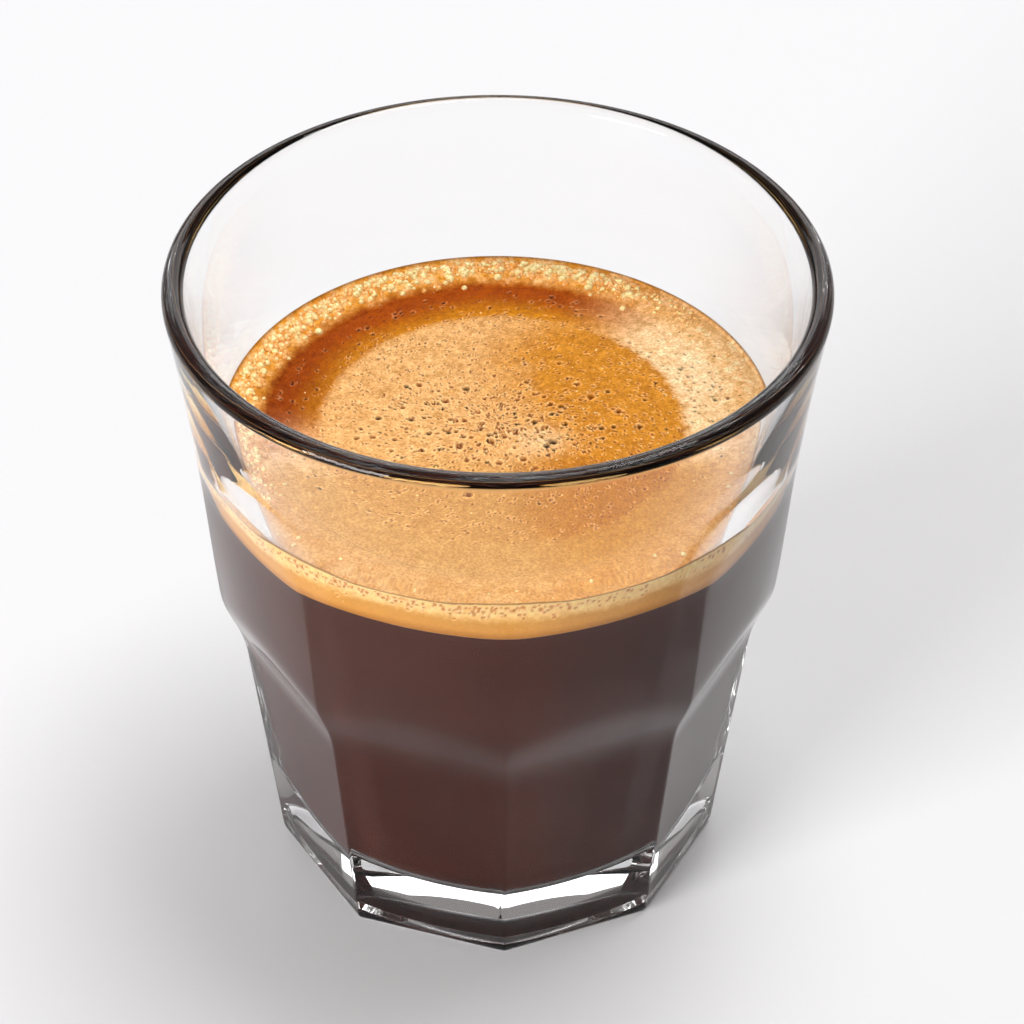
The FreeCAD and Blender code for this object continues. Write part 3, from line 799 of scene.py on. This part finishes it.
def foam_material(name, roughness, relief, gloss=0.05, at_glass=False):
    """Foam with the colours stored on the mesh, grain in them and a fine porous bump.

    The roughness runs between two values; the relief is the height of the bump.
    """
    material, tree, shader = new_material(name)
    stored = tree.nodes.new("ShaderNodeAttribute")
    stored.attribute_name = "foam_colour"
    grain = noise_node(tree, 4200.0, 3.0)
    tones = tree.nodes.new("ShaderNodeValToRGB")
    low, high = tones.color_ramp.elements
    low.position, high.position = 0.3, 0.7
    low.color = (0.93, 0.9, 0.85, 1) if at_glass else (0.8, 0.66, 0.48, 1)
    high.color = (1.04, 1.06, 1.1, 1) if at_glass else (1.16, 1.2, 1.28, 1)
    tree.links.new(grain.outputs["Fac"], tones.inputs["Fac"])
    shade = tree.nodes.new("ShaderNodeMix")
    shade.data_type = "RGBA"
    shade.blend_type = "MULTIPLY"
    shade.inputs["Factor"].default_value = 1.0
    tree.links.new(stored.outputs["Color"], shade.inputs["A"])
    tree.links.new(tones.outputs["Color"], shade.inputs["B"])
    tree.links.new(shade.outputs["Result"], shader.inputs["Base Color"])
    tree.links.new(spread(tree, grain, *roughness), shader.inputs["Roughness"])
    bump = tree.nodes.new("ShaderNodeBump")
    bump.inputs["Strength"].default_value = 0.6
    bump.inputs["Distance"].default_value = relief * MM
    tree.links.new(grain.outputs["Fac"], bump.inputs["Height"])
    tree.links.new(bump.outputs["Normal"], shader.inputs["Normal"])
    shader.inputs["Specular IOR Level"].default_value = 0.0 if at_glass else gloss
    if at_glass:
        wet_against_glass(tree, shader, FOAM_IN_GLASS)
    return material


# ------------------------------------------------------- light and camera

def make_floor():
    """Plain pale floor under the glass."""
    size = 3.0
    corners = [(-size, -size, 0), (size, -size, 0), (size, size, 0), (-size, size, 0)]
    piece = mesh_from("floor", np.array(corners) / MM, [(0, 1, 2, 3)], smooth=False)
    material, _, shader = new_material("pale_floor")
    shader.inputs["Base Color"].default_value = (0.7, 0.7, 0.71, 1)
    shader.inputs["Roughness"].default_value = 0.6
    shader.inputs["Specular IOR Level"].default_value = 0.2
    piece.data.materials.append(material)


def area_light(name, position, target, size, power, colour=(1, 1, 1)):
    """Rectangular soft light that faces a point."""
    lamp = bpy.data.lights.new(name, "AREA")
    lamp.shape = "RECTANGLE"
    lamp.size, lamp.size_y = size
    lamp.energy = power
    lamp.color = colour
    holder = bpy.data.objects.new(name, lamp)
    holder.location = position
    aim = Vector(target) - Vector(position)
    holder.rotation_euler = aim.to_track_quat("-Z", "Y").to_euler()
    bpy.context.scene.collection.objects.link(holder)


def make_light():
    """Even studio light: a soft key from above, a fill from the front left, a strip behind."""
    world = bpy.data.worlds.new("studio")
    bpy.context.scene.world = world
    world.use_nodes = True
    background = world.node_tree.nodes["Background"]
    background.inputs["Color"].default_value = (1.0, 0.93, 0.91, 1)
    background.inputs["Strength"].default_value = 0.26
    area_light("key", (0.18, 0.13, 0.87), (0, 0, 0.03), (0.42, 0.42), 5.35)
    area_light("fill", (-0.76, -0.66, 0.22), (0, 0, 0.045), (0.5, 0.4), 20.0)
    area_light("back", (0.0, 0.62, 0.36), (0, 0.24, 0), (0.8, 0.3), 1.6,
               colour=(0.96, 0.98, 1.0))


# the camera: degrees down, to the right and round the line of sight
PITCH, YAW, ROLL = 39.135, 0.303, 0.323
# its place in front of and above the glass, in radii of the mouth
CAMERA_PLACE = (0, -8.686, 8.309)
# how far the nearest ridge is turned from the camera's side, in degrees
RIDGE_TURN = -1.957
SENSOR_WIDTH = 36.0
LENS = 125.66


def make_camera():
    """Camera at the picture's angle: long lens, 39 degrees down, the ridge a little left."""
    pitch, yaw, roll = (math.radians(angle) for angle in (PITCH, YAW, ROLL))
    place = Vector(CAMERA_PLACE) * RIM_RADIUS * MM
    forward = Vector((math.sin(yaw) * math.cos(pitch), math.cos(yaw) * math.cos(pitch),
                      -math.sin(pitch)))
    right = Vector((math.cos(yaw), -math.sin(yaw), 0))
    up = right.cross(forward)
    right, up = (right * math.cos(roll) + up * math.sin(roll),
                 up * math.cos(roll) - right * math.sin(roll))
    axes = Matrix((right, up, -forward)).transposed()
    spin = Matrix.Rotation(math.radians(RIDGE_TURN), 3, "Z")
    data = bpy.data.cameras.new("camera")
    data.sensor_width = SENSOR_WIDTH
    data.lens = LENS
    camera = bpy.data.objects.new("camera", data)
    camera.matrix_world = Matrix.Translation(spin @ place) @ (spin @ axes).to_4x4()
    bpy.context.scene.collection.objects.link(camera)
    bpy.context.scene.camera = camera


# ----------------------------------------------------------------- build

pits = scatter_pits()
foam = foam_material("crema_foam", (0.38, 0.6), 0.15)
bubble_foam = foam_material("crema_bubbles", (0.12, 0.24), 0.02, gloss=0.9)
wet_foam = foam_material("crema_at_glass", (0.5, 0.6), 0.0, at_glass=True)
for piece, looks in ((make_glass(), [glass_material()]), (make_coffee(), [coffee_material()]),
                     (make_pool(pits), [foam]), (make_collar(pits), [foam, wet_foam]),
                     (make_bubbles(), [bubble_foam])):
    for look in looks:
        piece.data.materials.append(look)
make_floor()
make_light()
make_camera()
bpy.context.scene.view_settings.view_transform = "Standard"
bpy.context.scene.cycles.max_bounces = 24
bpy.context.scene.cycles.transmission_bounces = 24
bpy.context.scene.cycles.glossy_bounces = 8
bpy.context.scene.cycles.caustics_refractive = True
